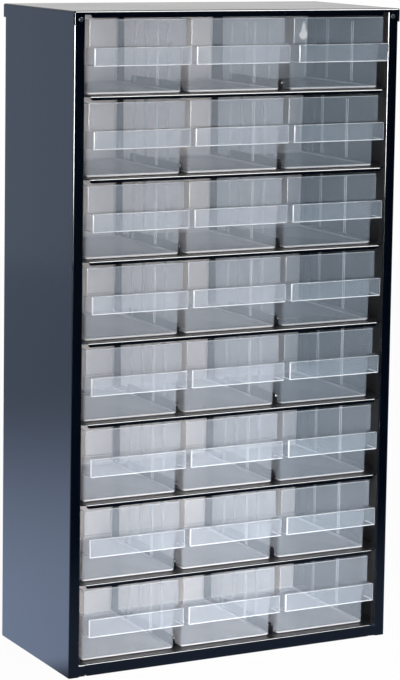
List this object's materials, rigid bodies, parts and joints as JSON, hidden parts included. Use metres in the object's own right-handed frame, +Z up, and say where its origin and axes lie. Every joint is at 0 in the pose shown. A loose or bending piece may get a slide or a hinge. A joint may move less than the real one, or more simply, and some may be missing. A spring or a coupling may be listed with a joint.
{
  "type": "parts bin cabinet",
  "caption": "Folded sheet steel parts bin cabinet with a grid of stepped translucent drawers that slide out.",
  "frame": {"origin": "middle of the footprint at floor level, measured over the case and the drawer handles", "axes": "+Z up, drawer fronts face -Y and open along -Y, +X to the right as seen from the front"},
  "size_m": [0.308, 0.15, 0.552],
  "materials": {
    "case_paint": "semi-gloss",
    "guide_paint": "semi-gloss",
    "rivet_steel": "satin",
    "drawer_plastic": "translucent, milky"
  },
  "bodies": {
    "cabinet": {"side_panel_right": "case_paint", "side_panel_left": "case_paint", "back_panel": "case_paint", "top_cap": "case_paint", "top_deck": "case_paint", "base_tray": "case_paint", "shelf_1": "case_paint", "shelf_2": "case_paint", "shelf_3": "case_paint", "shelf_4": "case_paint", "shelf_5": "case_paint", "shelf_6": "case_paint", "shelf_7": "case_paint", "guides_1": "guide_paint", "guides_2": "guide_paint", "guides_3": "guide_paint", "guides_4": "guide_paint", "guides_5": "guide_paint", "guides_6": "guide_paint", "guides_7": "guide_paint", "guides_8": "guide_paint", "front_rivets": "rivet_steel", "back_rivets": "rivet_steel"},
    "drawer_r1_c1": {"drawer_r1_c1": "drawer_plastic"},
    "drawer_r1_c2": {"drawer_r1_c2": "drawer_plastic"},
    "drawer_r1_c3": {"drawer_r1_c3": "drawer_plastic"},
    "drawer_r2_c1": {"drawer_r2_c1": "drawer_plastic"},
    "drawer_r2_c2": {"drawer_r2_c2": "drawer_plastic"},
    "drawer_r2_c3": {"drawer_r2_c3": "drawer_plastic"},
    "drawer_r3_c1": {"drawer_r3_c1": "drawer_plastic"},
    "drawer_r3_c2": {"drawer_r3_c2": "drawer_plastic"},
    "drawer_r3_c3": {"drawer_r3_c3": "drawer_plastic"},
    "drawer_r4_c1": {"drawer_r4_c1": "drawer_plastic"},
    "drawer_r4_c2": {"drawer_r4_c2": "drawer_plastic"},
    "drawer_r4_c3": {"drawer_r4_c3": "drawer_plastic"},
    "drawer_r5_c1": {"drawer_r5_c1": "drawer_plastic"},
    "drawer_r5_c2": {"drawer_r5_c2": "drawer_plastic"},
    "drawer_r5_c3": {"drawer_r5_c3": "drawer_plastic"},
    "drawer_r6_c1": {"drawer_r6_c1": "drawer_plastic"},
    "drawer_r6_c2": {"drawer_r6_c2": "drawer_plastic"},
    "drawer_r6_c3": {"drawer_r6_c3": "drawer_plastic"},
    "drawer_r7_c1": {"drawer_r7_c1": "drawer_plastic"},
    "drawer_r7_c2": {"drawer_r7_c2": "drawer_plastic"},
    "drawer_r7_c3": {"drawer_r7_c3": "drawer_plastic"},
    "drawer_r8_c1": {"drawer_r8_c1": "drawer_plastic"},
    "drawer_r8_c2": {"drawer_r8_c2": "drawer_plastic"},
    "drawer_r8_c3": {"drawer_r8_c3": "drawer_plastic"}
  },
  "joints": [
    {"name": "slide_r1_c1", "type": "slide", "parent": "cabinet", "child": "drawer_r1_c1", "axis": [0, -1, 0], "range_m": [0, 0.1137]},
    {"name": "slide_r1_c2", "type": "slide", "parent": "cabinet", "child": "drawer_r1_c2", "axis": [0, -1, 0], "range_m": [0, 0.1137]},
    {"name": "slide_r1_c3", "type": "slide", "parent": "cabinet", "child": "drawer_r1_c3", "axis": [0, -1, 0], "range_m": [0, 0.1137]},
    {"name": "slide_r2_c1", "type": "slide", "parent": "cabinet", "child": "drawer_r2_c1", "axis": [0, -1, 0], "range_m": [0, 0.1137]},
    {"name": "slide_r2_c2", "type": "slide", "parent": "cabinet", "child": "drawer_r2_c2", "axis": [0, -1, 0], "range_m": [0, 0.1137]},
    {"name": "slide_r2_c3", "type": "slide", "parent": "cabinet", "child": "drawer_r2_c3", "axis": [0, -1, 0], "range_m": [0, 0.1137]},
    {"name": "slide_r3_c1", "type": "slide", "parent": "cabinet", "child": "drawer_r3_c1", "axis": [0, -1, 0], "range_m": [0, 0.1137]},
    {"name": "slide_r3_c2", "type": "slide", "parent": "cabinet", "child": "drawer_r3_c2", "axis": [0, -1, 0], "range_m": [0, 0.1137]},
    {"name": "slide_r3_c3", "type": "slide", "parent": "cabinet", "child": "drawer_r3_c3", "axis": [0, -1, 0], "range_m": [0, 0.1137]},
    {"name": "slide_r4_c1", "type": "slide", "parent": "cabinet", "child": "drawer_r4_c1", "axis": [0, -1, 0], "range_m": [0, 0.1137]},
    {"name": "slide_r4_c2", "type": "slide", "parent": "cabinet", "child": "drawer_r4_c2", "axis": [0, -1, 0], "range_m": [0, 0.1137]},
    {"name": "slide_r4_c3", "type": "slide", "parent": "cabinet", "child": "drawer_r4_c3", "axis": [0, -1, 0], "range_m": [0, 0.1137]},
    {"name": "slide_r5_c1", "type": "slide", "parent": "cabinet", "child": "drawer_r5_c1", "axis": [0, -1, 0], "range_m": [0, 0.1137]},
    {"name": "slide_r5_c2", "type": "slide", "parent": "cabinet", "child": "drawer_r5_c2", "axis": [0, -1, 0], "range_m": [0, 0.1137]},
    {"name": "slide_r5_c3", "type": "slide", "parent": "cabinet", "child": "drawer_r5_c3", "axis": [0, -1, 0], "range_m": [0, 0.1137]},
    {"name": "slide_r6_c1", "type": "slide", "parent": "cabinet", "child": "drawer_r6_c1", "axis": [0, -1, 0], "range_m": [0, 0.1137]},
    {"name": "slide_r6_c2", "type": "slide", "parent": "cabinet", "child": "drawer_r6_c2", "axis": [0, -1, 0], "range_m": [0, 0.1137]},
    {"name": "slide_r6_c3", "type": "slide", "parent": "cabinet", "child": "drawer_r6_c3", "axis": [0, -1, 0], "range_m": [0, 0.1137]},
    {"name": "slide_r7_c1", "type": "slide", "parent": "cabinet", "child": "drawer_r7_c1", "axis": [0, -1, 0], "range_m": [0, 0.1137]},
    {"name": "slide_r7_c2", "type": "slide", "parent": "cabinet", "child": "drawer_r7_c2", "axis": [0, -1, 0], "range_m": [0, 0.1137]},
    {"name": "slide_r7_c3", "type": "slide", "parent": "cabinet", "child": "drawer_r7_c3", "axis": [0, -1, 0], "range_m": [0, 0.1137]},
    {"name": "slide_r8_c1", "type": "slide", "parent": "cabinet", "child": "drawer_r8_c1", "axis": [0, -1, 0], "range_m": [0, 0.1137]},
    {"name": "slide_r8_c2", "type": "slide", "parent": "cabinet", "child": "drawer_r8_c2", "axis": [0, -1, 0], "range_m": [0, 0.1137]},
    {"name": "slide_r8_c3", "type": "slide", "parent": "cabinet", "child": "drawer_r8_c3", "axis": [0, -1, 0], "range_m": [0, 0.1137]}
  ]
}
